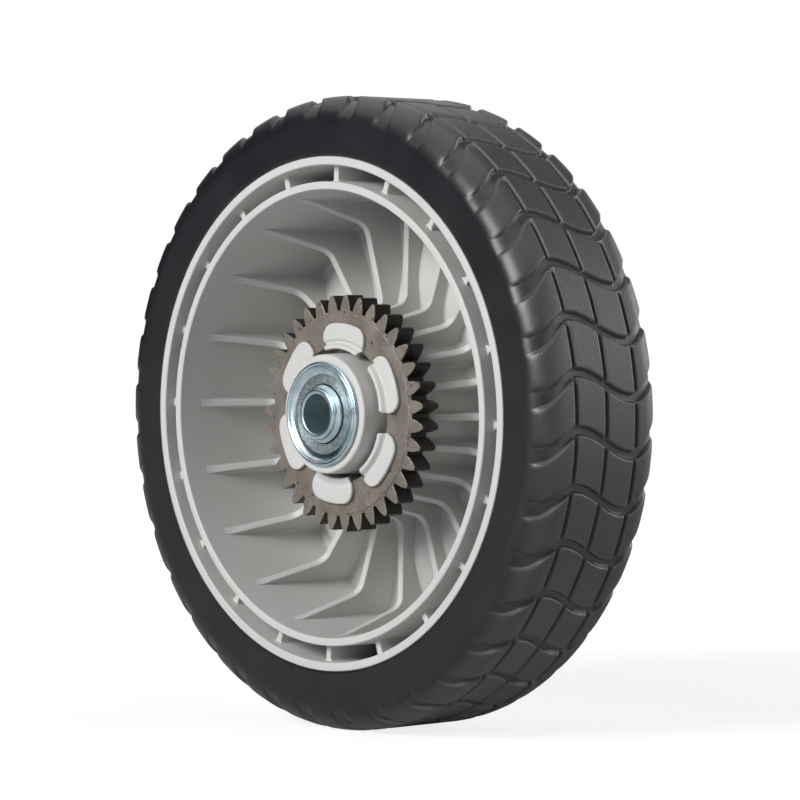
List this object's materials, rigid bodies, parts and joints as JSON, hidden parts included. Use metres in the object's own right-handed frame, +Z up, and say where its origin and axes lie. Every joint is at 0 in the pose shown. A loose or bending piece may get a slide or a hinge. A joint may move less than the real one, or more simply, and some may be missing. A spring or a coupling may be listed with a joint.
{
  "type": "lawn mower drive wheel",
  "caption": "Lawn mower drive wheel: rubber tyre with wavy tread on a ribbed grey plastic rim, steel drive gear and flanged ball bearings for a half-inch axle.",
  "frame": {"origin": "wheel centre, on the axle's line and the tyre's middle plane", "axes": "+Z up, Y along the axle with the gear side facing -Y"},
  "size_m": [0.2028, 0.057, 0.2028],
  "materials": {
    "tyre_rubber": "moulded matte",
    "rim_plastic": "smooth moulded",
    "gear_steel": "sintered, oiled",
    "bearing_zinc": "bright zinc plate",
    "shield_steel": "dull zinc plate",
    "ball_steel": "polished"
  },
  "bodies": {
    "axle_races": {"inner_race_front": "bearing_zinc", "inner_race_rear": "bearing_zinc"},
    "wheel": {"tyre": "tyre_rubber", "rim": "rim_plastic", "drive_gear": "gear_steel", "bearing_cup_front": "bearing_zinc", "bearing_shield_front": "shield_steel", "bearing_cup_rear": "bearing_zinc", "bearing_shield_rear": "shield_steel"},
    "balls_front": {"ball_front_1": "ball_steel", "ball_front_2": "ball_steel", "ball_front_3": "ball_steel", "ball_front_4": "ball_steel", "ball_front_5": "ball_steel", "ball_front_6": "ball_steel", "ball_front_7": "ball_steel", "ball_front_8": "ball_steel", "ball_front_9": "ball_steel", "ball_front_10": "ball_steel"},
    "balls_rear": {"ball_rear_1": "ball_steel", "ball_rear_2": "ball_steel", "ball_rear_3": "ball_steel", "ball_rear_4": "ball_steel", "ball_rear_5": "ball_steel", "ball_rear_6": "ball_steel", "ball_rear_7": "ball_steel", "ball_rear_8": "ball_steel", "ball_rear_9": "ball_steel", "ball_rear_10": "ball_steel"}
  },
  "joints": [
    {"name": "wheel_spin", "type": "hinge", "parent": "axle_races", "child": "wheel", "pos_m": [0, 0, 0], "axis": [0, 1, 0], "continuous": true},
    {"name": "balls_front_orbit", "type": "hinge", "parent": "axle_races", "child": "balls_front", "pos_m": [0, 0, 0], "axis": [0, 1, 0], "continuous": true},
    {"name": "balls_rear_orbit", "type": "hinge", "parent": "axle_races", "child": "balls_rear", "pos_m": [0, 0, 0], "axis": [0, 1, 0], "continuous": true}
  ],
  "couplings": [
    {"joint": "balls_front_orbit", "follows": "wheel_spin", "ratio": 0.6405},
    {"joint": "balls_rear_orbit", "follows": "wheel_spin", "ratio": 0.6405}
  ]
}
